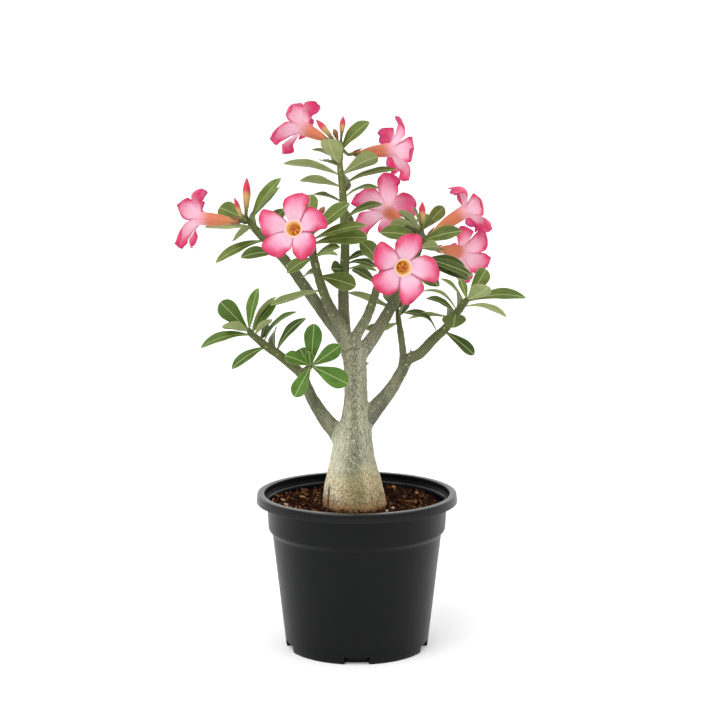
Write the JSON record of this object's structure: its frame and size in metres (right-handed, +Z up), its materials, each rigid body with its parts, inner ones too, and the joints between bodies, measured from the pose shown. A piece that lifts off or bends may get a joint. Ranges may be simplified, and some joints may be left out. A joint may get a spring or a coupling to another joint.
{
  "type": "potted desert rose adenium",
  "caption": "Flowering desert rose with a swollen caudex trunk, leafy branches and pink trumpet flowers, rooted in bark soil in a round black plastic nursery pot.",
  "frame": {"origin": "centre of the pot's flat underside", "axes": "+Z up out of the pot, +X to the right as seen from the front, +Y away from the front"},
  "size_m": [0.3263, 0.1965, 0.5164],
  "materials": {
    "pot_plastic": "moulded black polypropylene, satin",
    "soil": "moist peat with bark chips",
    "bark": "smooth grey-green bark with pale lenticels, tan and cracked at the foot",
    "green": "waxy leaves and young stems",
    "petal": "soft petals, pale at the throat and magenta at the rim",
    "sepal": "brown-red sepals and unripe buds",
    "stamen": "orange anthers and threads",
    "bud": "satin closed buds, red at the tip"
  },
  "bodies": {
    "root": {"pot": "pot_plastic", "soil": "soil", "trunk": "bark", "shoot_a": "green", "shoot_b": "green", "shoot_c": "green", "shoot_d": "green", "shoot_e": "green", "shoot_f": "green", "shoot_f_side": "green", "shoot_g": "green", "shoot_g_side": "green", "corolla_1": "petal", "corolla_2": "petal", "corolla_3": "petal", "corolla_4": "petal", "corolla_5": "petal", "corolla_6": "petal", "corolla_7": "petal", "corolla_8": "petal", "calyx_1": "sepal", "calyx_2": "sepal", "calyx_3": "sepal", "calyx_4": "sepal", "calyx_5": "sepal", "calyx_6": "sepal", "calyx_7": "sepal", "calyx_8": "sepal", "stamens_1": "stamen", "stamens_2": "stamen", "stamens_3": "stamen", "stamens_4": "stamen", "stamens_5": "stamen", "stamens_6": "stamen", "stamens_7": "stamen", "stamens_8": "stamen", "bud_1": "bud", "bud_2": "bud", "bud_3": "bud", "bud_4": "bud", "bud_5": "bud", "bud_6": "sepal", "bud_7": "sepal"}
  },
  "joints": []
}
